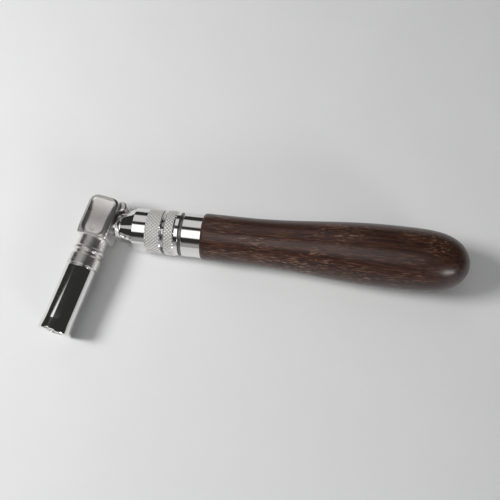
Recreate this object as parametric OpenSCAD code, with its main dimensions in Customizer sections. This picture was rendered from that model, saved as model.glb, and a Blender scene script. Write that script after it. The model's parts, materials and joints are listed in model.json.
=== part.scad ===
// Extendable piano tuning lever: a star-socket tip screwed onto an angled head, an extension rod,
// a collet chuck that locks the rod, and a turned wooden grip with a steel ferrule.
// Frame: origin at the centre of the socket's mouth. The handle axis runs along +X, +Z is up,
// and the socket opens towards -Y. Millimetres.

/* [Grip] */
// Length of the wooden grip from its shoulder to the butt
grip_len = 158; // [150:1:170]
// Radius of the grip just behind the shoulder
grip_front_r = 14.2; // [13.8:0.1:15]
// Radius of the grip at its fullest
grip_bulb_r = 18.8; // [17:0.1:20]
// Distance from the shoulder to where the swelling begins
grip_swell_x = 25; // [15:1:40]
// Distance from the shoulder to the fullest point
grip_bulb_x = 112; // [100:1:120]

/* [Ferrule and guide tube] */
// Outer radius of the ferrule
ferrule_r = 13.35; // [13.1:0.05:13.6]
// Wall thickness of the ferrule
ferrule_wall = 1.35; // [1:0.05:1.5]
// Visible length of the ferrule
ferrule_len = 11.5; // [10:0.5:13]
// Outer radius of the guide tube inside the grip
tube_r = 8.5; // [8.3:0.1:9]
// Wall thickness of the guide tube
tube_wall = 1.6; // [1.4:0.1:1.7]

/* [Chuck] */
// Radius of the knurled ring on the chuck body
grip_ring_r = 13.8; // [13.4:0.1:14.2]
// Radius of the knurled band on the nut
nut_band_r = 13.35; // [13:0.05:13.8]
// Radius of the nut's smooth nose
nose_r = 12.9; // [12.5:0.1:13]
// Radius of the small end of the nose
nose_tip_r = 7.6; // [7.4:0.1:8]
// Outer radius of the chuck thread
thread_r = 9.6; // [9.4:0.1:9.8]
// Length of the knurled ring
grip_ring_len = 6.2; // [5.8:0.1:6.6]
// Length of the nut's knurled band
nut_band_len = 9.3; // [9:0.1:10]
// Length of the nut's smooth cylinder
nose_len = 8.7; // [8.3:0.1:9]
// Length of the nut's cone
cone_len = 11.2; // [10.8:0.1:11.6]

/* [Rod] */
// Radius of the extension rod
rod_r = 5.75; // [5.5:0.05:5.8]
// How far the rod pulls out
stroke = 85; // [60:1:85]
// Width of the keyway in the rod
keyway_w = 3.1; // [3:0.1:3.4]

/* [Head] */
// Angle between the socket axis and the square to the handle
head_angle = 10; // [5:1:12]
// Distance from the socket's mouth to the handle axis, along the socket
tip_reach = 70; // [68:1:75]
// Distance from the grip's shoulder to the socket axis, along the handle
head_reach = 65.1; // [64.6:0.1:66]
// Width of the head block across the socket axis
head_w = 19.2; // [18.8:0.1:19.6]
// Thickness of the head block, top face to bottom face
head_t = 18.8; // [18:0.1:19.2]

/* [Tip] */
// Length of the screw-on tip
tip_len = 40.4; // [38:0.2:41]
// Outer radius of the tip
tip_r = 9.3; // [9:0.1:9.6]
// Outer radius of the tip at its mouth
mouth_r = 9.9; // [9.6:0.1:10.2]
// Size across the flats of each square of the star socket
star_flats = 7; // [6.6:0.1:7.3]
// Depth of the star socket
star_depth = 20; // [16:1:22]
// Radius of the round lead-in at the mouth
lead_in_r = 5.3; // [5.2:0.1:5.6]
// Depth of the round lead-in
lead_in_depth = 2.5; // [2:0.1:3]

/* [Fits] */
// Radial clearance of sliding parts
slide_gap = 0.05; // [0.03:0.01:0.08]
// Radial clearance of threads and of the nut over the closing ring
thread_gap = 0.1; // [0.08:0.01:0.1]

/* [Hidden] */
$fn = 96;
eps = 0.5;

// Lengths along the handle axis that aren't driving dimensions.
neck_len = 1.8;
lip_len = 2.7;
loose_gap = 2;
sleeve_len = 12.8;
collet_seat_len = 7.5;
rim_len = 1.5;
jaw_len = 10;
closing_ring_len = 6;
tube_seat_len = 4.2;
end_stop_gap = 0.5;
bush_len = 12;
screw_head_len = 2.5;
bumper_gap = 0.3;
bumper_len = 3;
plug_len = 4;
key_len = 8.8;
rod_socket_len = 6.2;

// Stations along the handle axis, measured from the grip's shoulder; -X points to the head.
spigot_end = -6;
ferrule_front = -ferrule_len;
neck_front = ferrule_front - neck_len;
lip_front = neck_front - lip_len;
ring_front = lip_front - grip_ring_len;
nut_rear = ring_front - loose_gap;
band_front = nut_rear - nut_band_len;
nose_front = band_front - nose_len;
nut_front = nose_front - cone_len;
body_front = nut_rear - sleeve_len;
collet_tail = body_front + collet_seat_len;
collet_rim = body_front - rim_len;
collet_front = collet_rim - jaw_len;
ring_back = collet_rim - 1;
ring_seat = ring_back - closing_ring_len;
tube_front = neck_front - tube_seat_len;
bush_front = tube_front + stroke + end_stop_gap;
bush_back = bush_front + bush_len;
screw_back = bush_back + screw_head_len;
bumper_front = screw_back + bumper_gap;
bumper_back = bumper_front + bumper_len;
tube_back = bumper_back + plug_len;
key_back = tube_front - 2.5;
key_front = key_back - key_len;
rod_seat = -head_reach - rod_socket_len;

// Radii and cross sections that several parts share.
neck_step = 0.4;
spigot_r = ferrule_r - ferrule_wall;
neck_r = spigot_r + neck_step;
tube_bore_r = tube_r - tube_wall;
rod_bore_r = rod_r + thread_gap;
collet_tail_r = 7.5;
collet_rim_r = 8.3;
collet_front_r = 6.9;
collet_gap = 0.25;
bush_bore_r = 3.5;
screw_r = 1.75;
pin_r = 1.2;
pin_x = spigot_end / 2;
key_gap = 0.2;
keyway_depth = 1.6;
key_w = keyway_w - key_gap;
keyway_floor = rod_r - keyway_depth;
key_floor = keyway_floor + key_gap;
key_seat_r = 7.5;

// Stations and sizes along the socket axis, measured from the mouth.
washer_t = 0.8;
stud_len = 12.2;
head_near = 10;
head_far = 16.4;
collar_start = tip_len + washer_t;
stud_start = collar_start - stud_len;
head_start = tip_reach - head_near;
head_end = tip_reach + head_far;
head_mid = (head_start + head_end) / 2;
stud_r = 4.7;
grub_r = 2.5;
grub_gap = 0.05;
grub_start = tip_reach + rod_r / cos(head_angle) + grub_r * tan(head_angle) + grub_gap;
grub_end = head_end - 1;

// Radius of the grip where it swells from the slim front to the full bulb.
function swell_r(x) = grip_front_r + (grip_bulb_r - grip_front_r)
    * (1 - cos(180 * (x - grip_swell_x) / (grip_bulb_x - grip_swell_x))) / 2;

// Radius of the collet's taper at station x, from its front end back to its rim.
function taper_r(x) = collet_front_r + (collet_rim_r - collet_front_r)
    * (x - collet_front) / (collet_rim - collet_front);

// Moves parts drawn on the handle axis, with X = 0 at the grip's shoulder, into the frame.
module on_handle() {
    translate([tip_reach * sin(head_angle) + head_reach, tip_reach * cos(head_angle), 0])
        children();
}

// Turns parts drawn with +Y along the socket axis, from the mouth to the head, into the frame.
module on_tip() {
    rotate([0, 0, -head_angle])
        children();
}

// Turned shape on the handle axis; each outline point is [radius, station].
module turned(outline) {
    rotate([0, 90, 0])
        rotate_extrude()
            polygon(outline);
}

// Turned shape on the socket axis; each outline point is [radius, station].
module turned_tip(outline) {
    rotate([-90, 0, 0])
        rotate_extrude()
            polygon(outline);
}

// Plain round bar on the handle axis between two stations.
module bar(r, from, to) {
    translate([from, 0, 0])
        rotate([0, 90, 0])
            cylinder(r = r, h = to - from);
}

// Plain round bar on the socket axis between two stations.
module tip_bar(r, from, to) {
    translate([0, from, 0])
        rotate([-90, 0, 0])
            cylinder(r = r, h = to - from);
}

// Turned grip: rounded front edge, straight front, swelling bulb and domed butt.
module handle() {
    edge_len = 2.2;
    edge_drop = 0.8;
    swell_steps = 16;
    front_edge = [for (a = [0 : 15 : 75])
        [grip_front_r - edge_drop * (1 - sin(a)), edge_len * (1 - cos(a))]];
    swell = [for (i = [0 : swell_steps])
        let (x = grip_swell_x + (grip_bulb_x - grip_swell_x) * i / swell_steps) [swell_r(x), x]];
    butt = [for (a = [5 : 5 : 90])
        [grip_bulb_r * cos(a), grip_bulb_x + (grip_len - grip_bulb_x) * sqrt(sin(a))]];
    tenon = [[0, spigot_end], [spigot_r, spigot_end], [spigot_r, 0]];
    color("#4a2c22")
        on_handle()
            difference() {
                turned(concat(tenon, front_edge, [[grip_front_r, edge_len]], swell, butt));
                bar(tube_r, spigot_end - eps, tube_back);
                pin_holes();
            }
}

// Plain tube over the grip's tenon and the chuck body's spigot.
module ferrule() {
    edge = 0.3;
    color("silver")
        on_handle()
            turned([[spigot_r, ferrule_front], [ferrule_r - edge, ferrule_front],
                    [ferrule_r, ferrule_front + edge], [ferrule_r, 0], [spigot_r, 0]]);
}

// Two cross holes for the pins that lock the guide tube in the grip's tenon.
module pin_holes() {
    for (side = [-1, 1])
        translate([pin_x, side * (tube_bore_r + spigot_r) / 2, 0])
            rotate([90, 0, 0])
                cylinder(r = pin_r, h = spigot_r - tube_bore_r + 2 * eps, center = true);
}

// Two short pins, one on each side, each a little shorter than its hole.
module tube_pins() {
    pin_len = spigot_r - tube_bore_r - 0.3;
    color("dimgray")
        on_handle()
            for (side = [-1, 1])
                translate([pin_x, side * (tube_bore_r + spigot_r) / 2, 0])
                    rotate([90, 0, 0])
                        cylinder(r = pin_r, h = pin_len, center = true);
}

// Steel tube that the rod's bush slides in.
module guide_tube() {
    color("lightslategray")
        on_handle()
            difference() {
                bar(tube_r, tube_front, tube_back);
                bar(tube_bore_r, tube_front - eps, tube_back + eps);
                pin_holes();
            }
}

// Plug that closes the tube's inner end.
module tube_plug() {
    color("gray")
        on_handle()
            bar(tube_bore_r, bumper_back, tube_back);
}

// Rubber washer that the retracted rod comes to rest on.
module bumper() {
    hole_r = 2;
    bumper_r = tube_bore_r - 0.1;
    color("black")
        on_handle()
            difference() {
                bar(bumper_r, bumper_front, bumper_back);
                bar(hole_r, bumper_front - eps, bumper_back + eps);
            }
}

// Threaded front sleeve, knurled ring, chamfered lip, neck and the spigot inside the ferrule.
module chuck_body() {
    chamfer = 0.6;
    color("silver")
        on_handle()
            difference() {
                turned([[0, body_front], [thread_r - chamfer, body_front],
                        [thread_r, body_front + chamfer], [thread_r, ring_front],
                        [grip_ring_r - chamfer, ring_front], [grip_ring_r, ring_front + chamfer],
                        [grip_ring_r, lip_front - chamfer], [grip_ring_r - chamfer, lip_front],
                        [ferrule_r, lip_front], [ferrule_r, neck_front - 2 * chamfer],
                        [neck_r, neck_front], [neck_r, ferrule_front],
                        [spigot_r, ferrule_front], [spigot_r, spigot_end], [0, spigot_end]]);
                bar(collet_tail_r, body_front - eps, collet_tail);
                bar(rod_bore_r, collet_tail - eps, tube_front + eps);
                bar(tube_r, tube_front, spigot_end + eps);
                translate([collet_tail - eps, -key_w / 2, -key_seat_r])
                    cube([key_back - collet_tail + eps, key_w, key_seat_r - rod_r + 1]);
            }
}

// Key that stops the rod from turning.
module guide_key() {
    color("dimgray")
        on_handle()
            translate([key_front, -key_w / 2, -key_seat_r])
                cube([key_back - key_front, key_w, key_seat_r - key_floor]);
}

// Split sleeve whose tapered jaws close on the rod.
module collet() {
    slot_w = 1;
    uncut_len = 3.5;
    slot_end = collet_tail - uncut_len;
    color("goldenrod")
        on_handle()
            difference() {
                turned([[rod_r + slide_gap, collet_front], [collet_front_r, collet_front],
                        [collet_rim_r, collet_rim], [collet_rim_r, body_front],
                        [collet_tail_r, body_front], [collet_tail_r, collet_tail],
                        [rod_r + slide_gap, collet_tail]]);
                for (a = [45, 135])
                    rotate([a, 0, 0])
                        translate([collet_front - eps, -slot_w / 2, -collet_rim_r - eps])
                            cube([slot_end - collet_front + eps, slot_w, 2 * (collet_rim_r + eps)]);
            }
}

// Ring with a tapered bore: the nut pushes it over the jaws without turning it.
module closing_ring() {
    color("darkgray")
        on_handle()
            turned([[taper_r(ring_seat) + collet_gap, ring_seat], [thread_r, ring_seat],
                    [thread_r, ring_back], [taper_r(ring_back) + collet_gap, ring_back]]);
}

// Knurled band, smooth nose and cone in one piece, threaded inside at the back.
module chuck_nut() {
    edge = 0.5;
    bore_r = thread_r + thread_gap;
    seat_gap = 0.02;
    jaw_room_r = taper_r(ring_seat) + collet_gap + 0.1;
    jaw_room_end = collet_front - 1.5;
    rod_hole_r = rod_r + 0.3;
    color("silver")
        on_handle()
            difference() {
                turned([[0, nut_front], [nose_tip_r - 2 * edge, nut_front],
                        [nose_tip_r - edge / 2, nut_front + edge / 2],
                        [nose_tip_r + edge, nut_front + 3 * edge],
                        [nose_r - edge / 2, nose_front - edge], [nose_r, nose_front + edge],
                        [nose_r, band_front], [nut_band_r - edge / 2, band_front],
                        [nut_band_r, band_front + edge], [nut_band_r, nut_rear - edge],
                        [nut_band_r - edge, nut_rear], [0, nut_rear]]);
                bar(bore_r, ring_seat - seat_gap, nut_rear + eps);
                bar(jaw_room_r, jaw_room_end, ring_seat);
                bar(rod_hole_r, nut_front - eps, jaw_room_end + eps);
            }
}

// Extension rod with its keyway underneath and a spigot that carries the guide bush.
module rod() {
    keyway_front = collet_tail - 0.5;
    keyway_back = bush_front - 2;
    screw_hole_start = bush_front + 1.5;
    spigot_gap = 0.2;
    color("silver")
        on_handle()
            difference() {
                union() {
                    bar(rod_r, rod_seat, bush_front);
                    bar(bush_bore_r, bush_front - eps, bush_back - spigot_gap);
                }
                bar(screw_r, screw_hole_start, bush_back + eps);
                translate([keyway_front, -keyway_w / 2, -rod_r - eps])
                    cube([keyway_back - keyway_front, keyway_w, rod_r + eps - keyway_floor]);
            }
}

// Bronze bush on the rod's inner end, with two grease grooves.
module rod_bush() {
    groove_w = 1.5;
    groove_r = 6.3;
    groove_inset = 3;
    bush_r = tube_bore_r - slide_gap;
    color("peru")
        on_handle()
            difference() {
                bar(bush_r, bush_front, bush_back);
                bar(bush_bore_r, bush_front - eps, bush_back + eps);
                for (x = [bush_front + groove_inset, bush_back - groove_inset - groove_w])
                    difference() {
                        bar(bush_r + eps, x, x + groove_w);
                        bar(groove_r, x - eps, x + groove_w + eps);
                    }
            }
}

// Slotted screw that holds the bush on the rod's spigot.
module bush_screw() {
    head_r = 5;
    slot_w = 1.2;
    slot_depth = 1.2;
    color("dimgray")
        on_handle()
            difference() {
                union() {
                    bar(head_r, bush_back, screw_back);
                    bar(screw_r, bush_front + 2, bush_back + eps);
                }
                translate([screw_back - slot_depth, -slot_w / 2, -head_r - eps])
                    cube([slot_depth + eps, slot_w, 2 * (head_r + eps)]);
            }
}

// Plan of the head block, with tight corners at the neck and wide ones at the far end.
module head_plan() {
    far_r = 4.5;
    near_r = 1.5;
    half_w = head_w / 2;
    translate([-half_w, head_start + near_r])
        square([head_w, head_end - head_start - near_r - far_r]);
    translate([-half_w + near_r, head_start])
        square([head_w - 2 * near_r, near_r + eps]);
    translate([-half_w + far_r, head_end - far_r - eps])
        square([head_w - 2 * far_r, far_r + eps]);
    for (side = [-1, 1]) {
        translate([side * (half_w - near_r), head_start + near_r])
            circle(r = near_r);
        translate([side * (half_w - far_r), head_end - far_r])
            circle(r = far_r);
    }
}

// Head block with bevelled long edges, as a slab cut by its eight-sided section.
module head_block() {
    bevel = 2.2;
    half_w = head_w / 2;
    half_t = head_t / 2;
    intersection() {
        translate([0, 0, -half_t])
            linear_extrude(head_t)
                head_plan();
        translate([0, head_end + eps, 0])
            rotate([90, 0, 0])
                linear_extrude(head_end - head_start + 2 * eps)
                    polygon([[half_w, half_t - bevel], [half_w - bevel, half_t],
                             [bevel - half_w, half_t], [-half_w, half_t - bevel],
                             [-half_w, bevel - half_t], [bevel - half_w, -half_t],
                             [half_w - bevel, -half_t], [half_w, bevel - half_t]]);
    }
}

// Stud, collar, groove, bead and neck, turned in one piece with the head.
module head_neck() {
    stud_edge = 0.7;
    collar_r = 9.4;
    collar_edge = 0.3;
    groove_r = 8.3;
    bead_r = 9.3;
    neck_tip_r = 8.5;
    collar_end = collar_start + 6.5;
    groove_start = collar_end + 1.1;
    groove_end = groove_start + 1.6;
    bead_start = groove_end + 0.8;
    bead_end = bead_start + 1.4;
    neck_start = bead_end + 0.8;
    neck_end = head_start + 1;
    turned_tip([[0, stud_start], [stud_r - stud_edge, stud_start],
                [stud_r, stud_start + stud_edge], [stud_r, collar_start],
                [collar_r - collar_edge, collar_start], [collar_r, collar_start + collar_edge],
                [collar_r, collar_end], [groove_r, groove_start], [groove_r, groove_end],
                [bead_r, bead_start], [bead_r, bead_end], [neck_tip_r, neck_start],
                [neck_tip_r, neck_end], [0, neck_end]]);
}

// Head: dished block, ear, ringed collar and the threaded stud that carries the tip.
module head() {
    ear_t = 11;
    ear_r = 3.2;
    ear_x = 10.4;
    ear_y = head_end - 2.6;
    dish_depth = 1.2;
    dish_r = 60;
    color("gainsboro")
        difference() {
            on_tip() {
                head_block();
                translate([ear_x, ear_y, -ear_t / 2])
                    cylinder(r = ear_r, h = ear_t);
                head_neck();
            }
            on_tip() {
                for (side = [-1, 1])
                    translate([0, head_mid, side * (head_t / 2 - dish_depth + dish_r)])
                        rotate([0, 90, 0])
                            cylinder(r = dish_r, h = head_w + 2 * eps, center = true, $fn = 240);
                tip_bar(grub_r, tip_reach, head_end + eps);
            }
            on_handle()
                bar(rod_r, rod_seat, nut_front);
        }
}

// Socket grub screw that bears on the rod from the far end of the head.
module head_screw() {
    hex_r = 1.45;
    hex_depth = 3;
    color("dimgray")
        on_tip()
            difference() {
                tip_bar(grub_r, grub_start, grub_end);
                translate([0, grub_end - hex_depth, 0])
                    rotate([-90, 0, 0])
                        cylinder(r = hex_r, h = hex_depth + eps, $fn = 6);
            }
}

// Thin bright washer between the tip and the head's collar.
module tip_washer() {
    washer_r = 8.9;
    color("silver")
        on_tip()
            difference() {
                tip_bar(washer_r, tip_len, collar_start);
                tip_bar(stud_r + thread_gap, tip_len - eps, collar_start + eps);
            }
}

// Screw-on tip: eight-pointed star socket below, threaded bore for the stud above.
module tuning_tip() {
    flare_start = 2;
    flare_end = 7;
    lip = 0.8;
    edge = 0.4;
    bore_start = stud_start - 1.5;
    color("silver")
        on_tip()
            difference() {
                turned_tip([[0, 0], [mouth_r - lip, 0], [mouth_r, lip],
                            [mouth_r - 0.2, flare_start], [tip_r, flare_end],
                            [tip_r, tip_len - edge], [tip_r - edge, tip_len], [0, tip_len]]);
                tip_bar(lead_in_r, -eps, lead_in_depth);
                tip_bar(stud_r + thread_gap, bore_start, tip_len + eps);
                for (a = [0, 45])
                    rotate([0, a, 0])
                        translate([-star_flats / 2, lead_in_depth - eps, -star_flats / 2])
                            cube([star_flats, star_depth - lead_in_depth + eps, star_flats]);
            }
}

handle();
ferrule();
tube_pins();
guide_tube();
tube_plug();
bumper();
chuck_body();
guide_key();
collet();
closing_ring();
chuck_nut();
rod();
rod_bush();
bush_screw();
head();
head_screw();
tip_washer();
tuning_tip();
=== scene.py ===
"""Looks of an extendable piano tuning lever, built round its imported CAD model.

Lengths are written in millimetres and become metres through MM. A turned piece is an outline of
(station, radius, rounding) points about its own X axis: along the handle, stations are measured
from the grip's shoulder, and along the tip they are measured from the socket's mouth.
"""

import json
import math

import bmesh
import bpy
import numpy as np
from mathutils import Matrix, Vector


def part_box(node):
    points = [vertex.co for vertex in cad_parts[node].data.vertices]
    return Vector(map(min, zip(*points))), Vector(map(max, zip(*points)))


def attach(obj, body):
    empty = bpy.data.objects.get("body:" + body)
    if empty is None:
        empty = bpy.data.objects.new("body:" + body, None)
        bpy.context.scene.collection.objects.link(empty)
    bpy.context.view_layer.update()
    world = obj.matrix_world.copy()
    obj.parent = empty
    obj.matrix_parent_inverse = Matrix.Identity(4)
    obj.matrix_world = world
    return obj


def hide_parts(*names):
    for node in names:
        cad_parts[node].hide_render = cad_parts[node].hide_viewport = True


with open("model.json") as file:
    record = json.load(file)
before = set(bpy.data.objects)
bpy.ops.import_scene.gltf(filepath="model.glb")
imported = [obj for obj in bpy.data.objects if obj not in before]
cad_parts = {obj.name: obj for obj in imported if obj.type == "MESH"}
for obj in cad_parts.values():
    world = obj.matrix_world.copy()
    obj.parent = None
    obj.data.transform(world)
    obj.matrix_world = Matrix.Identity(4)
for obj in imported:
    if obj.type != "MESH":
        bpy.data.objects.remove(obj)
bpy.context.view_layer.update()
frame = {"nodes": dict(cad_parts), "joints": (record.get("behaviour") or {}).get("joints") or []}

MM = 0.001
TAU = 2 * math.pi

# Where the two axes lie, read from the frame.
GRIP_LOW, GRIP_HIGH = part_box("handle")
FERRULE_LOW, FERRULE_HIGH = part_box("ferrule")
AXIS_Y = (GRIP_LOW.y + GRIP_HIGH.y) / 2
SHOULDER_X = FERRULE_HIGH.x
JOINT_AXES = {joint["name"]: Vector(joint["axis"]) for joint in frame["joints"]}
TIP_AXIS = -JOINT_AXES["tip_unscrew"].normalized()
TIP_SIDE = Vector((0, 0, 1)).cross(TIP_AXIS)


def frame_matrix(origin, along, side, up):
    """Matrix that turns local X, Y and Z to the three directions and moves them to an origin."""
    turn = Matrix((along, side, up)).transposed().to_4x4()
    return Matrix.Translation(origin) @ turn


ON_HANDLE = frame_matrix((SHOULDER_X, AXIS_Y, 0), (1, 0, 0), (0, 1, 0), (0, 0, 1))
ON_TIP = frame_matrix((0, 0, 0), TIP_AXIS, TIP_SIDE, (0, 0, 1))

# Sizes shared by several pieces, in millimetres.
GRIP_FRONT_R = 14.2
GRIP_BULB_R = (GRIP_HIGH.y - GRIP_LOW.y) / 2 / MM
GRIP_SWELL_X = 25
GRIP_BULB_X = 112
GRIP_LEN = (GRIP_HIGH.x - SHOULDER_X) / MM
SPIGOT_END = -6
FERRULE_R = (FERRULE_HIGH.y - FERRULE_LOW.y) / 2 / MM
FERRULE_FRONT = (FERRULE_LOW.x - SHOULDER_X) / MM
SPIGOT_R = 12
NECK_R = 12.4
NECK_FRONT = FERRULE_FRONT - 1.8
LIP_FRONT = NECK_FRONT - 2.7
RING_FRONT = LIP_FRONT - 6.2
NUT_REAR = RING_FRONT - 2
BAND_FRONT = NUT_REAR - 9.3
NOSE_FRONT = BAND_FRONT - 8.7
NUT_FRONT = NOSE_FRONT - 11.2
BODY_FRONT = NUT_REAR - 12.8
COLLET_TAIL = BODY_FRONT + 7.5
COLLET_FRONT = BODY_FRONT - 11.5
RING_SEAT = BODY_FRONT - 8.5
TUBE_FRONT = NECK_FRONT - 4.2
RING_R = 13.8
BAND_R = 13.35
NOSE_R = 12.9
NOSE_TIP_R = 7.6
THREAD_R = 9.6
NUT_PITCH = 1.5
TUBE_R = 8.5
ROD_R = 5.75
ROD_HOLE_R = 5.85
KEYWAY_W = 3.1
KEYWAY_DEPTH = 1.6
ROD_SEAT = -70.5
BUSH_FRONT = 68
BUSH_BACK = 80
PLUG_SEAT = 89.8
TIP_LEN = 40.4
TIP_R = 9.3
MOUTH_R = 9.88
COLLAR_START = 41.2
STUD_START = 29
STUD_R = 4.7
STUD_PITCH = 1.27
WASHER_R = 8.9
HEAD_NEAR = 60
HEAD_FAR = 86.4
HEAD_HALF_W = 9.6
HEAD_HALF_T = 9.4
# Sides of the knurled pieces, a multiple of the knurl's count, then of the plain turned ones,
# and then of the rod and the washer.
SIDES = 480
PLAIN_SIDES = 192
BAR_SIDES = 160
# Spacing of the outline's points along a thread and along a knurl.
THREAD_STEP = 0.125
KNURL_STEP = 0.18


# ---------------------------------------------------------------- meshes

def rounded(outline, steps=6, support=0.12):
    """Outline with a round at each point that names one, and a short straight beside each round."""
    made = []
    for i, point in enumerate(outline):
        here = Vector(point[:2])
        if len(point) < 3:
            made.append(tuple(here))
            continue
        rounding = point[2]
        back = Vector(outline[i - 1][:2]) - here
        ahead = Vector(outline[i + 1][:2]) - here
        half = back.angle(ahead) / 2
        reach = min(rounding / math.tan(half), 0.45 * back.length, 0.45 * ahead.length)
        radius = reach * math.tan(half)
        inwards = (back.normalized() + ahead.normalized()).normalized()
        centre = here + inwards * (radius / math.sin(half))
        start = here + back.normalized() * reach
        end = here + ahead.normalized() * reach
        if back.length > 3 * (reach + support):
            made.append(tuple(start + back.normalized() * support))
        first, last = start - centre, end - centre
        for k in range(steps + 1):
            way = first.slerp(last, k / steps)
            made.append(tuple(centre + way * (radius / way.length)))
        if ahead.length > 3 * (reach + support):
            made.append(tuple(end + ahead.normalized() * support))
    return made


def stations(start, end, spacing, radius):
    """Evenly spaced outline points at one radius, for a stretch that carries a relief."""
    count = max(2, round(abs(end - start) / spacing))
    return [(start + (end - start) * k / count, radius) for k in range(count + 1)]


def revolve(outline, sides=SIDES, relief=None):
    """Vertices and faces of the closed solid that an outline of (station, radius) turns into."""
    angles = np.arange(sides) * TAU / sides
    rings, vertices = [], []
    for station, radius in outline:
        if radius < 1e-6:
            rings.append([len(vertices)])
            vertices.append((station, 0, 0))
            continue
        radii = np.full(sides, float(radius))
        if relief:
            radii = relief(angles, station, radii)
        first = len(vertices)
        ring = np.stack([np.full(sides, station), radii * np.cos(angles),
                         radii * np.sin(angles)], 1)
        vertices.extend(map(tuple, ring))
        rings.append(list(range(first, first + sides)))
    faces = []
    for low, high in zip(rings, rings[1:] + rings[:1]):
        if len(low) == 1 and len(high) == 1:
            continue
        for k in range(sides):
            n = (k + 1) % sides
            if len(low) == 1:
                faces.append((low[0], high[n], high[k]))
            elif len(high) == 1:
                faces.append((low[k], low[n], high[0]))
            else:
                faces.append((low[k], low[n], high[n], high[k]))
    return vertices, faces


def triangle_wave(x):
    """0 at whole numbers and 1 half way between them."""
    return 1 - np.abs(2 * (x - np.floor(x)) - 1)


def knurl(start, end, radius, depth, around=40, pitch=2.2, land=0.5):
    """Relief of crossed grooves that leave flat-topped diamonds between two stations."""
    def relief(angles, station, radii):
        if not (start <= station <= end and abs(radii[0] - radius) < 1e-6):
            return radii
        left = triangle_wave(around * angles / TAU + station / pitch)
        right = triangle_wave(around * angles / TAU - station / pitch)
        height = np.minimum(np.minimum(left, right) / land, 1)
        return radii - depth * (1 - height)
    return relief


def thread(start, end, radius, pitch, depth):
    """Relief of a screw thread between two stations."""
    def relief(angles, station, radii):
        if not (start <= station <= end and abs(radii[0] - radius) < 1e-6):
            return radii
        fade = min(1, (station - start) / pitch, (end - station) / pitch)
        height = np.clip(triangle_wave(station / pitch - angles / TAU) * 1.3 - 0.1, 0, 1)
        return radii - depth * fade * (1 - height)
    return relief


def both(*reliefs):
    """Several reliefs, one after another."""
    def relief(angles, station, radii):
        for each in reliefs:
            radii = each(angles, station, radii)
        return radii
    return relief


def new_object(name, vertices, faces, place):
    """Object at the frame's origin, with a mesh drawn in millimetres on the axes of its place."""
    mesh = bpy.data.meshes.new(name)
    mesh.from_pydata([tuple(c * MM for c in v) for v in vertices], [], faces)
    mesh.transform(place)
    shape = bmesh.new()
    shape.from_mesh(mesh)
    bmesh.ops.recalc_face_normals(shape, faces=shape.faces)
    shape.to_mesh(mesh)
    shape.free()
    made = bpy.data.objects.new(name, mesh)
    bpy.context.scene.collection.objects.link(made)
    smooth(made)
    return made


def smooth(made, sharp_angle=32):
    """Smooth shading that stops at edges sharper than the angle."""
    mesh = made.data
    mesh.polygons.foreach_set("use_smooth", [True] * len(mesh.polygons))
    mesh.set_sharp_from_angle(angle=math.radians(sharp_angle))


def combine(base, others, operation):
    """Joins the other solids to the base, or cuts them out of it, for good."""
    for other in others:
        step = base.modifiers.new("combine", "BOOLEAN")
        step.operation = operation
        step.solver = "MANIFOLD"
        step.object = other
        bpy.context.view_layer.update()
        graph = bpy.context.evaluated_depsgraph_get()
        mesh = bpy.data.meshes.new_from_object(base.evaluated_get(graph))
        base.modifiers.clear()
        base.data = mesh
        bpy.data.objects.remove(other)
    smooth(base)
    return base


def plain_bar(radius, start, end, place, sides=128):
    """Round bar between two stations, for cutting bores."""
    outline = [(start, 0), (start, radius), (end, radius), (end, 0)]
    return new_object("bar", *revolve(outline, sides), place)


def place_piece(made, body, nodes, material):
    """Gives a piece its material and its CAD body, and hides the nodes it stands for."""
    made.data.materials.clear()
    made.data.materials.append(material)
    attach(made, body)
    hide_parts(*nodes)


# ---------------------------------------------------------------- materials

def add_node(tree, kind, settings=None, inputs=None):
    """New shader node, with its settings and its inputs given as values or as sockets to link."""
    made = tree.nodes.new(kind)
    for key, value in (settings or {}).items():
        setattr(made, key, value)
    for key, value in (inputs or {}).items():
        if isinstance(value, bpy.types.NodeSocket):
            tree.links.new(value, made.inputs[key])
        else:
            made.inputs[key].default_value = value
    return made


def new_material(name, metallic=0.0):
    """Material with a principled shader, and the node tree and shader to go on with."""
    material = bpy.data.materials.new(name)
    material.use_nodes = True
    tree = material.node_tree
    shader = tree.nodes["Principled BSDF"]
    shader.inputs["Metallic"].default_value = metallic
    return material, tree, shader


def own_axes(tree, place):
    """Position on the axes of a place, whose X is the axis that the piece was turned on."""
    where = add_node(tree, "ShaderNodeTexCoord")
    return add_node(tree, "ShaderNodeMapping", {"vector_type": "TEXTURE"}, {
        "Vector": where.outputs["Object"], "Location": place.to_translation(),
        "Rotation": place.to_euler()}).outputs["Vector"]


def stretched_noise(tree, where, scale, detail=4.0, roughness=0.55, distortion=0.0):
    """Noise at a position, with its own number of cells per metre along each axis."""
    spread = add_node(tree, "ShaderNodeMapping", None, {"Vector": where, "Scale": scale})
    return add_node(tree, "ShaderNodeTexNoise", None, {
        "Vector": spread.outputs["Vector"], "Scale": 1.0, "Detail": detail,
        "Roughness": roughness, "Distortion": distortion}).outputs["Fac"]


def levels(tree, value, low, high, to_low, to_high):
    """Value between low and high spread over a new range."""
    return add_node(tree, "ShaderNodeMapRange", {"clamp": True}, {
        "Value": value, "From Min": low, "From Max": high, "To Min": to_low,
        "To Max": to_high}).outputs["Result"]


def blend_colours(tree, factor, first, second):
    """Mix of two colours, each a value or a socket."""
    mix = add_node(tree, "ShaderNodeMix", {"data_type": "RGBA"})
    colour_a, colour_b = mix.inputs[6], mix.inputs[7]
    for socket, value in ((mix.inputs["Factor"], factor), (colour_a, first), (colour_b, second)):
        if isinstance(value, bpy.types.NodeSocket):
            tree.links.new(value, socket)
        else:
            socket.default_value = value
    return mix.outputs[2]


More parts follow.
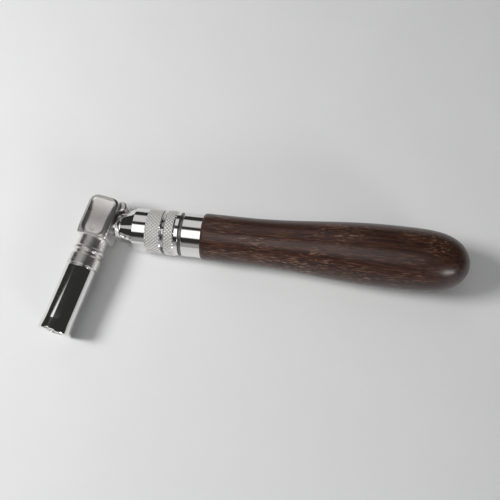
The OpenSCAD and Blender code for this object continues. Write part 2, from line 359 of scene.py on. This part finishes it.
def grey(level, warmth=0.0):
    """Nearly neutral colour, with some warmth."""
    return (level, level * (1 - warmth / 2), level * (1 - warmth), 1)


def metal(name, place, level, warmth, smoothest, roughest, brushing=0.05, smudge_scale=90.0):
    """Metal with hazy patches, fine turning marks round its axis and a little dullness."""
    material, tree, shader = new_material(name, 1.0)
    where = own_axes(tree, place)
    haze = stretched_noise(tree, where, (smudge_scale,) * 3, 5.0, 0.6, 0.4)
    marks = stretched_noise(tree, where, (9000.0, 260.0, 260.0), 2.0)
    tint = blend_colours(tree, levels(tree, haze, 0.35, 0.7, 0, 1), grey(level, warmth),
                         grey(level * 0.93, warmth))
    worn = add_node(tree, "ShaderNodeMath", {"operation": "MULTIPLY_ADD"}, {
        0: levels(tree, marks, 0.45, 0.8, 0, 1), 1: brushing,
        2: levels(tree, haze, 0.35, 0.75, smoothest, roughest)}).outputs[0]
    relief = add_node(tree, "ShaderNodeBump", None, {
        "Strength": brushing, "Distance": 0.02 * MM, "Height": marks})
    tree.links.new(tint, shader.inputs["Base Color"])
    tree.links.new(worn, shader.inputs["Roughness"])
    tree.links.new(relief.outputs["Normal"], shader.inputs["Normal"])
    return material


def knurled_metal(name, level, warmth, radius, depth):
    """Whitish metal with painted shade in its grooves, which are found by their distance from the
    axis.
    """
    material, tree, shader = new_material(name, metallic=0.30)
    where = own_axes(tree, ON_HANDLE)
    flat = add_node(tree, "ShaderNodeVectorMath", {"operation": "MULTIPLY"}, {
        0: where, 1: (0, 1, 1)})
    reach = add_node(tree, "ShaderNodeVectorMath", {"operation": "LENGTH"}, {
        0: flat.outputs["Vector"]})
    groove_r, land_r = (radius - depth) * MM, (radius - 0.1 * depth) * MM
    height = levels(tree, reach.outputs["Value"], groove_r, land_r, 0, 1)
    haze = stretched_noise(tree, where, (400.0,) * 3, 4.0)
    # The grooves' near-black colour is painted shade, not a finish of the metal.
    painted_groove_shade = grey(level * 0.06, warmth + 0.06)
    tint = blend_colours(tree, height, painted_groove_shade, grey(level, warmth))
    tint = blend_colours(tree, levels(tree, haze, 0.4, 0.7, 0, 0.25), tint,
                         grey(level * 0.8, warmth))
    tree.links.new(tint, shader.inputs["Base Color"])
    tree.links.new(levels(tree, height, 0, 1, 0.5, 0.32), shader.inputs["Roughness"])
    return material


def rosewood(name):
    """Dark oiled hardwood: streaked figure, fine fibres and short open pores along the grain."""
    material, tree, shader = new_material(name)
    where = own_axes(tree, ON_HANDLE)
    figure = stretched_noise(tree, where, (14.0, 210.0, 210.0), 5.0, 0.6, 0.8)
    streaks = stretched_noise(tree, where, (45.0, 1250.0, 1250.0), 5.0, 0.65, 0.3)
    fibres = stretched_noise(tree, where, (240.0, 5200.0, 5200.0), 3.0, 0.6)
    pores = stretched_noise(tree, where, (170.0, 2300.0, 2300.0), 1.0, 0.5)
    patches = stretched_noise(tree, where, (26.0, 60.0, 60.0), 3.0, 0.5)
    dark = (0.014, 0.0055, 0.0040, 1)
    middle = (0.050, 0.0190, 0.0120, 1)
    light = (0.150, 0.062, 0.036, 1)
    body = blend_colours(tree, levels(tree, figure, 0.36, 0.66, 0, 1), dark, middle)
    body = blend_colours(tree, levels(tree, streaks, 0.50, 0.74, 0, 0.75), body, light)
    body = blend_colours(tree, levels(tree, streaks, 0.47, 0.34, 0, 0.8), body, dark)
    body = blend_colours(tree, levels(tree, fibres, 0.35, 0.7, 0, 0.35), body, middle)
    open_pores = levels(tree, pores, 0.60, 0.66, 0, 1)
    body = blend_colours(tree, open_pores, body, (0.012, 0.006, 0.0045, 1))
    speckle = add_node(tree, "ShaderNodeMath", {"operation": "MULTIPLY"}, {
        0: levels(tree, pores, 0.40, 0.34, 0, 1), 1: levels(tree, patches, 0.48, 0.62, 0, 0.85)})
    body = blend_colours(tree, speckle.outputs[0], body, (0.26, 0.15, 0.10, 1))
    height = add_node(tree, "ShaderNodeMath", {"operation": "MULTIPLY_ADD"}, {
        0: open_pores, 1: -1.0, 2: levels(tree, fibres, 0.3, 0.7, 0, 0.3)})
    relief = add_node(tree, "ShaderNodeBump", None, {
        "Strength": 0.5, "Distance": 0.06 * MM, "Height": height.outputs[0]})
    tree.links.new(body, shader.inputs["Base Color"])
    tree.links.new(levels(tree, streaks, 0.3, 0.7, 0.30, 0.42), shader.inputs["Roughness"])
    tree.links.new(relief.outputs["Normal"], shader.inputs["Normal"])
    shader.inputs["Specular IOR Level"].default_value = 0.35
    shader.inputs["Coat Weight"].default_value = 0.32
    shader.inputs["Coat Roughness"].default_value = 0.2
    return material


def rubber(name):
    """Matt black rubber with a fine grain."""
    material, tree, shader = new_material(name)
    grain = stretched_noise(tree, own_axes(tree, ON_HANDLE), (2500.0,) * 3, 3.0)
    tree.links.new(blend_colours(tree, grain, (0.012, 0.012, 0.012, 1), (0.03, 0.03, 0.03, 1)),
                   shader.inputs["Base Color"])
    tree.links.new(levels(tree, grain, 0.3, 0.7, 0.7, 0.9), shader.inputs["Roughness"])
    return material


def tinted_metal(name, first, second, smoothest, roughest):
    """Coloured metal, such as bronze or blackened steel, mottled between two tones."""
    material, tree, shader = new_material(name, 1.0)
    mottle = stretched_noise(tree, own_axes(tree, ON_HANDLE), (350.0,) * 3, 5.0)
    tree.links.new(blend_colours(tree, levels(tree, mottle, 0.3, 0.7, 0, 1), first, second),
                   shader.inputs["Base Color"])
    tree.links.new(levels(tree, mottle, 0.3, 0.7, smoothest, roughest), shader.inputs["Roughness"])
    return material


CHROME = metal("polished_chrome", ON_HANDLE, 0.86, 0.015, 0.045, 0.10)
TIP_CHROME = metal("polished_tip_chrome", ON_TIP, 0.86, 0.015, 0.045, 0.10)
# The rod's ground chrome is darker than the polished chrome: painted shade for the dark gap between
# the head and the nut.
ROD_CHROME_WITH_GAP_SHADE = metal("ground_chrome_darkened_as_gap_shade", ON_HANDLE, 0.50, 0.01, 0.08, 0.16, 0.10)
NICKEL = metal("satin_nickel", ON_TIP, 0.93, 0.05, 0.26, 0.36, 0.08, 140.0)
# Dark steel for the neck's recess: painted shade for the dark step between the lip and the ferrule.
RECESS_PAINTED_SHADE = metal("recess_painted_shade_steel", ON_HANDLE, 0.22, 0.06, 0.30, 0.45)
STEEL = metal("turned_steel", ON_HANDLE, 0.60, 0.02, 0.25, 0.40, 0.25)
KNURL_DEPTH = 0.45
BAND_METAL = knurled_metal("knurled_nut_chrome", 0.88, 0.03, BAND_R, KNURL_DEPTH)
RING_METAL = knurled_metal("knurled_ring_chrome", 0.88, 0.03, RING_R, KNURL_DEPTH)
ROSEWOOD = rosewood("rosewood")
BLACK_STEEL = tinted_metal("blackened_steel", (0.05, 0.05, 0.055, 1), (0.11, 0.11, 0.12, 1),
                           0.35, 0.5)
BRONZE = tinted_metal("bronze", (0.55, 0.33, 0.14, 1), (0.42, 0.24, 0.10, 1), 0.25, 0.42)
RUBBER = rubber("bumper_rubber")


# ---------------------------------------------------------------- pieces on the handle axis

def make_grip():
    """Turned grip: rounded front edge, straight front, cosine swell and domed butt."""
    edge_len, edge_drop = 2.2, 0.8
    edge_steps, swell_steps, dome_steps = 12, 60, 64
    outline = [(PLUG_SEAT, 0), (PLUG_SEAT, TUBE_R), (SPIGOT_END, TUBE_R), (SPIGOT_END, SPIGOT_R),
               (0, SPIGOT_R)]
    for k in range(edge_steps + 1):
        a = math.pi / 2 * k / edge_steps
        outline.append((edge_len * (1 - math.cos(a)), GRIP_FRONT_R - edge_drop * (1 - math.sin(a))))
    outline += [(x, GRIP_FRONT_R) for x in (4, 10, 17)]
    for k in range(swell_steps + 1):
        way = k / swell_steps
        swell = (1 - math.cos(math.pi * way)) / 2
        outline.append((GRIP_SWELL_X + (GRIP_BULB_X - GRIP_SWELL_X) * way,
                        GRIP_FRONT_R + (GRIP_BULB_R - GRIP_FRONT_R) * swell))
    for k in range(1, dome_steps + 1):
        u = math.sin(math.pi / 2 * k / dome_steps)
        outline.append((GRIP_BULB_X + (GRIP_LEN - GRIP_BULB_X) * u,
                        GRIP_BULB_R * math.sqrt(max(0.0, 1 - u ** 4))))
    outline[-1] = (GRIP_LEN, 0)
    grip = new_object("turned_grip", *revolve(outline, PLAIN_SIDES), ON_HANDLE)
    place_piece(grip, "grip", ["handle"], ROSEWOOD)


def make_ferrule():
    """Ferrule tube with its softly rounded front edge."""
    outline = rounded([(FERRULE_FRONT, SPIGOT_R), (FERRULE_FRONT, FERRULE_R, 0.35),
                       (0, FERRULE_R, 0.1), (0, SPIGOT_R)])
    ferrule = new_object("ferrule_tube", *revolve(outline, PLAIN_SIDES), ON_HANDLE)
    place_piece(ferrule, "grip", ["ferrule"], CHROME)


def make_chuck_body():
    """Threaded sleeve, knurled ring, rounded lip, neck and spigot, bored for the rod and tube."""
    edge, thread_depth, collet_tail_r = 0.6, 0.7, 7.5
    knurl_start, knurl_end = RING_FRONT + edge, LIP_FRONT - edge
    thread_start, thread_end = BODY_FRONT + edge, RING_FRONT
    lead = [(COLLET_TAIL, ROD_HOLE_R), (COLLET_TAIL, collet_tail_r), (BODY_FRONT, collet_tail_r)]
    sleeve = [(BODY_FRONT, THREAD_R - edge)]
    sleeve += stations(thread_start, thread_end, THREAD_STEP, THREAD_R)
    ring = [(RING_FRONT, RING_R - edge)] + stations(knurl_start, knurl_end, KNURL_STEP, RING_R)
    ring += [(LIP_FRONT, RING_R - edge)]
    lip = rounded([(LIP_FRONT, FERRULE_R - 0.7), (LIP_FRONT, FERRULE_R, 0.5),
                   (NECK_FRONT - 0.1, FERRULE_R, 1.4), (NECK_FRONT, NECK_R),
                   (FERRULE_FRONT, NECK_R), (FERRULE_FRONT, SPIGOT_R)])
    inside = [(SPIGOT_END, SPIGOT_R), (SPIGOT_END, TUBE_R), (TUBE_FRONT, TUBE_R),
              (TUBE_FRONT, ROD_HOLE_R)]
    relief = both(thread(thread_start, thread_end, THREAD_R, NUT_PITCH, thread_depth),
                  knurl(knurl_start, knurl_end, RING_R, KNURL_DEPTH))
    outline = lead + sleeve + ring + lip + inside
    body = new_object("chuck_body_turned", *revolve(outline, SIDES, relief), ON_HANDLE)
    place_piece(body, "grip", ["chuck_body"], RING_METAL)
    polish_outside(body, knurl_start, knurl_end)


def polish_outside(made, start, end):
    """Polishes all but the knurl between two stations, and paints shade on the neck's recess with a
    dark steel.
    """
    polished, painted_shade, recess_margin = 1, 2, 0.3
    made.data.materials.append(CHROME)
    made.data.materials.append(RECESS_PAINTED_SHADE)
    for face in made.data.polygons:
        station = (face.center.x - SHOULDER_X) / MM
        if NECK_FRONT - recess_margin < station < FERRULE_FRONT:
            face.material_index = painted_shade
        elif not start <= station <= end:
            face.material_index = polished


def make_chuck_nut():
    """Nut: knurled band, smooth cylinder, cone and beaded end, bored for the jaws and the rod."""
    edge, thread_r, rod_gap_r = 0.5, 9.7, 6.05
    knurl_start, knurl_end = BAND_FRONT + edge, NUT_REAR - edge
    jaw_room_r, jaw_room_end = 8.25, COLLET_FRONT - 1.5
    inside = [(NUT_REAR, thread_r), (RING_SEAT, thread_r), (RING_SEAT, jaw_room_r),
              (jaw_room_end, jaw_room_r), (jaw_room_end, rod_gap_r)]
    bead_back, bead_r = NUT_FRONT + 3.6, NOSE_TIP_R + 1.7
    nose = rounded([(NUT_FRONT, rod_gap_r), (NUT_FRONT, NOSE_TIP_R - 0.1, 1.3),
                    (bead_back - 0.3, bead_r, 0.9), (bead_back + 0.2, bead_r - 0.15, 0.3),
                    (NOSE_FRONT - 0.5, NOSE_R - 0.6, 0.3), (NOSE_FRONT + 0.9, NOSE_R, 0.5),
                    (BAND_FRONT, NOSE_R)])
    band = [(BAND_FRONT, BAND_R - 0.4)] + stations(knurl_start, knurl_end, KNURL_STEP, BAND_R)
    band += [(NUT_REAR, BAND_R - edge)]
    relief = knurl(knurl_start, knurl_end, BAND_R, KNURL_DEPTH)
    nut = new_object("chuck_nut_turned", *revolve(inside + nose + band, SIDES, relief), ON_HANDLE)
    place_piece(nut, "nut", ["chuck_nut"], BAND_METAL)
    polish_outside(nut, knurl_start, knurl_end)


def make_rod():
    """Extension rod with its keyway underneath and the spigot for the guide bush."""
    spigot_r, screw_r = 3.5, 1.75
    spigot_end, screw_end = BUSH_BACK - 0.2, BUSH_FRONT + 1.5
    outline = rounded([(ROD_SEAT, 0), (ROD_SEAT, ROD_R, 0.4), (BUSH_FRONT, ROD_R, 0.3),
                       (BUSH_FRONT, spigot_r), (spigot_end, spigot_r), (spigot_end, screw_r),
                       (screw_end, screw_r), (screw_end, 0)])
    rod = new_object("extension_rod", *revolve(outline, BAR_SIDES), ON_HANDLE)
    start, end = COLLET_TAIL - 0.5, BUSH_FRONT - 2
    half_w, bottom, outside = KEYWAY_W / 2, KEYWAY_DEPTH - ROD_R, -ROD_R - 1
    corners = [(x, y, z) for x in (start, end) for y in (-half_w, half_w)
               for z in (outside, bottom)]
    sides = [(0, 1, 3, 2), (4, 6, 7, 5), (0, 4, 5, 1), (2, 3, 7, 6), (0, 2, 6, 4), (1, 5, 7, 3)]
    combine(rod, [new_object("keyway", corners, sides, ON_HANDLE)], "DIFFERENCE")
    place_piece(rod, "rod", ["rod"], ROD_CHROME_WITH_GAP_SHADE)


# ---------------------------------------------------------------- pieces on the tip axis

def star_reach(angles, flats):
    """Distance from the axis to the side of two crossed squares at each angle."""
    def square(a):
        return flats / 2 / np.maximum(np.abs(np.cos(a)), np.abs(np.sin(a)))
    return np.maximum(square(angles), square(angles + math.pi / 4))


def make_tip():
    """Screw-on tip with its flared mouth, star socket and threaded bore."""
    star_depth, lead_in, flats = 20, 2.5, 7
    corner_r, lead_in_r = 4.95, 5.3
    bore_start, bore_r = 27.5, STUD_R + 0.1
    star = [(star_depth, 0), (star_depth, corner_r - 0.3), (star_depth - 0.3, corner_r),
            (lead_in + 0.8, corner_r), (lead_in, corner_r)]
    flare_start, flare_end, bore_edge = 2, 7, 0.6
    mouth = rounded([(lead_in, lead_in_r), (0, lead_in_r, 0.35), (0, MOUTH_R, 0.9),
                     (flare_start, MOUTH_R - 0.1, 1.0), (flare_end, TIP_R, 4.0),
                     (TIP_LEN, TIP_R, 0.45), (TIP_LEN, STUD_R + 0.5, 0.3),
                     (TIP_LEN - bore_edge, bore_r)], steps=8)

    def relief(angles, station, radii):
        if radii[0] > corner_r or station > star_depth:
            return radii
        return np.minimum(radii, star_reach(angles, flats))

    bore = [(bore_start, bore_r), (bore_start, 0)]
    tip = new_object("tuning_tip_turned", *revolve(star + mouth + bore, 256, relief), ON_TIP)
    place_piece(tip, "tip", ["tuning_tip"], TIP_CHROME)


def make_washer():
    """Thin bright washer between the tip and the collar."""
    bore_r, edge = STUD_R + 0.1, 0.3
    outline = rounded([(TIP_LEN, bore_r), (TIP_LEN, WASHER_R, edge), (COLLAR_START, WASHER_R, edge),
                       (COLLAR_START, bore_r)])
    washer = new_object("tip_washer_turned", *revolve(outline, BAR_SIDES), ON_TIP)
    place_piece(washer, "tip_washer", ["tip_washer"], TIP_CHROME)


def soft_max(a, b, width):
    """Larger of two fields, with a round blend where they meet."""
    mix = np.clip(0.5 + (a - b) / (2 * width), 0, 1)
    return b + (a - b) * mix + width * mix * (1 - mix)


def soft_min(a, b, width):
    """Smaller of two fields, with a round blend where they meet."""
    return -soft_max(-a, -b, width)


def rounded_rectangle(s, a, low, high, half_w, near_r, far_r):
    """Signed distance to a rectangle whose near and far corners have their own radii."""
    middle, half_s = (low + high) / 2, (high - low) / 2
    radius = np.where(s > middle, far_r, near_r)
    ds = np.abs(s - middle) - half_s + radius
    da = np.abs(a) - half_w + radius
    outside = np.hypot(np.maximum(ds, 0), np.maximum(da, 0))
    return outside + np.minimum(np.maximum(ds, da), 0) - radius


def head_field(points):
    """Negative inside the head block: its plan, bevelled rims, hollowed faces and ear."""
    s, a, z = points.T
    near_r, far_r = 1.5, 4.5
    plan = rounded_rectangle(s, a, HEAD_NEAR, HEAD_FAR, HEAD_HALF_W, near_r, far_r)
    rim_offset, rim_half_w, rim_near_r, rim_far_r = 0.45, HEAD_HALF_W - 1.75, 6.0, 4.4
    rim = rounded_rectangle(s, a + rim_offset, HEAD_NEAR + 0.3, HEAD_FAR - 1.0, rim_half_w,
                            rim_near_r, rim_far_r)
    middle = (HEAD_NEAR + HEAD_FAR) / 2
    hollow_depth, hollow_reach, hollow_offset = 1.3, 14.0, 3
    hollow = hollow_depth * np.clip(1 - ((s - middle + hollow_offset) / hollow_reach) ** 2, 0, 1)
    inner_slope, bevel_slope = 0.55, 0.62
    dish = soft_min(hollow, np.maximum(-rim, 0) * inner_slope, 0.5)
    bevel = np.maximum(rim, 0) * bevel_slope
    top = np.abs(z) - (HEAD_HALF_T - np.maximum(dish, 0) - bevel)
    block = soft_max(plan, top, 0.7)
    ear_s, ear_a, ear_r, ear_half_t = 83.8, -10.4, 3.2, 5.5
    ear_side = np.hypot(s - ear_s, a - ear_a) - ear_r
    ear = soft_max(ear_side, np.abs(z) - ear_half_t, 1.4)
    return soft_min(block, ear, 1.6)


def head_block_mesh(cells=96):
    """Cube whose points are moved along their rays from the centre onto the head's surface."""
    centre = np.array([(HEAD_NEAR + HEAD_FAR) / 2, 0, 0])
    size = np.array([(HEAD_FAR - HEAD_NEAR) / 2, HEAD_HALF_W, HEAD_HALF_T])
    shape = bmesh.new()
    bmesh.ops.create_cube(shape, size=2)
    bmesh.ops.subdivide_edges(shape, edges=shape.edges, cuts=cells - 1, use_grid_fill=True)
    shape.verts.ensure_lookup_table()
    rays = np.array([v.co for v in shape.verts]) * size
    faces = [tuple(v.index for v in face.verts) for face in shape.faces]
    shape.free()
    nearest, farthest, halvings = 0.5, 1.8, 40
    low, high = np.full(len(rays), nearest), np.full(len(rays), farthest)
    for _ in range(halvings):
        middle = (low + high) / 2
        inside = head_field(centre + rays * middle[:, None]) < 0
        low = np.where(inside, middle, low)
        high = np.where(inside, high, middle)
    return (centre + rays * low[:, None]).tolist(), faces


def make_head():
    """Head: hollowed block with ear, neck, bead, collar and threaded stud, bored for the rod."""
    collar_r, groove_r, bead_r, neck_r, neck_end = 9.4, 8.3, 9.3, 8.5, HEAD_NEAR + 4
    thread_start, thread_end, thread_depth = STUD_START + 0.7, COLLAR_START - 0.3, 0.5
    neck = [(STUD_START, 0), (STUD_START, STUD_R - 0.7)]
    neck += stations(thread_start, thread_end, THREAD_STEP, STUD_R)
    neck += rounded([(COLLAR_START, STUD_R), (COLLAR_START, collar_r, 0.5), (47.7, collar_r, 0.5),
                     (48.8, groove_r, 0.5), (50.4, groove_r, 0.5), (51.2, bead_r, 0.6),
                     (52.6, bead_r, 0.6), (53.4, neck_r, 0.6), (neck_end, neck_r), (neck_end, 0)])
    relief = thread(thread_start, thread_end, STUD_R, STUD_PITCH, thread_depth)
    head = new_object("angled_head", *head_block_mesh(), ON_TIP)
    combine(head, [new_object("neck", *revolve(neck, PLAIN_SIDES, relief), ON_TIP)], "UNION")
    screw_hole_r, rod_crossing, clearance = 2.5, 70, 0.03
    rod_bore = plain_bar(ROD_R + clearance, ROD_SEAT, NUT_FRONT, ON_HANDLE)
    screw_hole = plain_bar(screw_hole_r + clearance, rod_crossing, HEAD_FAR + 1, ON_TIP)
    combine(head, [rod_bore, screw_hole], "DIFFERENCE")
    place_piece(head, "rod", ["head"], NICKEL)


make_grip()
make_ferrule()
make_chuck_body()
make_chuck_nut()
make_rod()
make_tip()
make_washer()
make_head()

# The CAD nodes that stay: the small inner pieces, whose shapes are right.
NODE_FINISHES = {
    "tube_pins": STEEL, "guide_tube": STEEL, "tube_plug": STEEL, "bumper": RUBBER,
    "guide_key": BLACK_STEEL, "collet": STEEL, "closing_ring": STEEL, "rod_bush": BRONZE,
    "bush_screw": BLACK_STEEL, "head_screw": BLACK_STEEL,
}
for node_name, finish in NODE_FINISHES.items():
    for slot in frame["nodes"][node_name].material_slots:
        slot.material = finish


# ---------------------------------------------------------------- floor, light and camera

def node_points(name):
    """Points of a CAD node as an array."""
    return np.array([v.co for v in frame["nodes"][name].data.vertices])


def resting_plane():
    """Slopes and height of the plane that carries the lever on its bulb, ring and socket mouth."""
    groups = [node_points(name) for name in ("handle", "chuck_body", "tuning_tip")]
    slope_x = slope_y = 0.0
    for _ in range(30):
        feet = [g[np.argmin(g[:, 2] - slope_x * g[:, 0] - slope_y * g[:, 1])] for g in groups]
        system = np.array([(foot[0], foot[1], 1) for foot in feet])
        slope_x, slope_y, height = np.linalg.solve(system, [foot[2] for foot in feet])
    return slope_x, slope_y, height


SLOPE_X, SLOPE_Y, FLOOR_Z = resting_plane()


def make_floor():
    """Pale, faintly mottled table top under the lever."""
    half, below = 3.0, 0.02
    mesh = bpy.data.meshes.new("table_top")
    grid = bmesh.new()
    bmesh.ops.create_grid(grid, x_segments=8, y_segments=8, size=half)
    for vertex in grid.verts:
        vertex.co.z = SLOPE_X * vertex.co.x + SLOPE_Y * vertex.co.y + FLOOR_Z - below * MM
    grid.to_mesh(mesh)
    grid.free()
    floor = bpy.data.objects.new("table_top", mesh)
    bpy.context.scene.collection.objects.link(floor)
    material, tree, shader = new_material("pale_laminate")
    mottle = stretched_noise(tree, own_axes(tree, ON_HANDLE), (18.0,) * 3, 4.0)
    tree.links.new(blend_colours(tree, mottle, (0.66, 0.67, 0.68, 1), (0.70, 0.71, 0.72, 1)),
                   shader.inputs["Base Color"])
    tree.links.new(levels(tree, mottle, 0.3, 0.7, 0.5, 0.6), shader.inputs["Roughness"])
    mesh.materials.append(material)


def window(tree, value, low, high, soft):
    """1 where the value lies between two limits, fading to 0 over a soft edge."""
    rise = levels(tree, value, low - soft, low + soft, 0, 1)
    fall = levels(tree, value, high - soft, high + soft, 1, 0)
    both_ends = add_node(tree, "ShaderNodeMath", {"operation": "MULTIPLY"}, {0: rise, 1: fall})
    return both_ends.outputs[0]


# Lit panels round the lever. The first two values of each are its lower and upper lean from the
# zenith towards the back, in degrees, and the next two its left and right sides, as the X of a
# direction of length 1. Then come the softness of its ends in degrees, and its strength.
STUDIO_PANELS = (
    (-38, 1.0, -0.45, 0.22, 3.5, 1.40),
    (-38, -4, -0.97, -0.45, 2.0, 0.50),
    (2.5, 8.5, -0.82, -0.44, 1.5, 1.0),
    (19, 60, -0.55, 0.00, 3.0, 0.62),
    (-100, -68, -0.60, 0.10, 5.0, 0.30),
    (-62, -50, 0.58, 0.80, 4.0, 16.0),
)
# Towards the right, every panel turns forward by this much for each unit of X.
PANEL_SLANT = math.radians(12)
PANEL_SIDE_SOFTNESS = 0.04
UNLIT_STRENGTH = 0.03
WALL_STRENGTH = 0.55


def make_studio():
    """Soft studio surroundings of lit panels, with a plain wall where they are seen directly."""
    world = bpy.data.worlds.new("studio")
    bpy.context.scene.world = world
    world.use_nodes = True
    tree = world.node_tree
    backdrop = tree.nodes["Background"]
    where = add_node(tree, "ShaderNodeTexCoord")
    parts = add_node(tree, "ShaderNodeSeparateXYZ", None, {"Vector": where.outputs["Generated"]})
    across = parts.outputs["X"]
    upright_lean = add_node(tree, "ShaderNodeMath", {"operation": "ARCTAN2"}, {
        0: parts.outputs["Y"], 1: parts.outputs["Z"]})
    lean = add_node(tree, "ShaderNodeMath", {"operation": "MULTIPLY_ADD"}, {
        0: across, 1: PANEL_SLANT, 2: upright_lean.outputs[0]}).outputs[0]
    total = UNLIT_STRENGTH
    for low, high, left, right, soft, strength in STUDIO_PANELS:
        along = window(tree, lean, math.radians(low), math.radians(high), math.radians(soft))
        sideways = window(tree, across, left, right, PANEL_SIDE_SOFTNESS)
        shape = add_node(tree, "ShaderNodeMath", {"operation": "MULTIPLY"}, {0: along, 1: sideways})
        total = add_node(tree, "ShaderNodeMath", {"operation": "MULTIPLY_ADD"}, {
            0: shape.outputs[0], 1: strength, 2: total}).outputs[0]
    seen = add_node(tree, "ShaderNodeLightPath").outputs["Is Camera Ray"]
    wall = add_node(tree, "ShaderNodeMix", {"data_type": "FLOAT"}, {
        0: seen, 2: total, 3: WALL_STRENGTH})
    tree.links.new(wall.outputs[0], backdrop.inputs["Strength"])
    backdrop.inputs["Color"].default_value = (1.0, 0.995, 0.98, 1)
    bpy.context.scene.view_settings.view_transform = "Standard"


def make_key_light():
    """Large soft lamp to the left of the lever, which gives the shadows their side."""
    lamp = bpy.data.lights.new("key", "AREA")
    lamp.shape = "DISK"
    lamp.size = 0.34
    lamp.energy = 9.2
    lamp.color = (1.0, 0.99, 0.97)
    key = bpy.data.objects.new("key", lamp)
    bpy.context.scene.collection.objects.link(key)
    place, aim = Vector((-0.62, -0.02, 0.66)), Vector((0.10, 0.05, 0))
    turn = (aim - place).to_track_quat("-Z", "Y").to_matrix().to_4x4()
    key.matrix_world = Matrix.Translation(place) @ turn
    key.visible_glossy = False


def make_camera():
    """Camera that looks down on the lever from the front, held nearly level with the table."""
    azimuth, elevation = math.radians(-7.52), math.radians(68.63)
    place = Vector((134.2, -44.2, 312.1)) * MM
    upright = Vector((0.0379, 0.0386, 1)).normalized()
    level = Vector((math.sin(azimuth), math.cos(azimuth), 0))
    level = (level - upright * level.dot(upright)).normalized()
    forward = level * math.cos(elevation) - upright * math.sin(elevation)
    right = forward.cross(upright).normalized()
    up = right.cross(forward)
    lens = bpy.data.cameras.new("camera")
    lens.lens = 39.6
    lens.clip_start = 0.01
    camera = bpy.data.objects.new("camera", lens)
    bpy.context.scene.collection.objects.link(camera)
    camera.matrix_world = frame_matrix(place, right, up, -forward)
    bpy.context.scene.camera = camera


make_floor()
make_studio()
make_key_light()
make_camera()
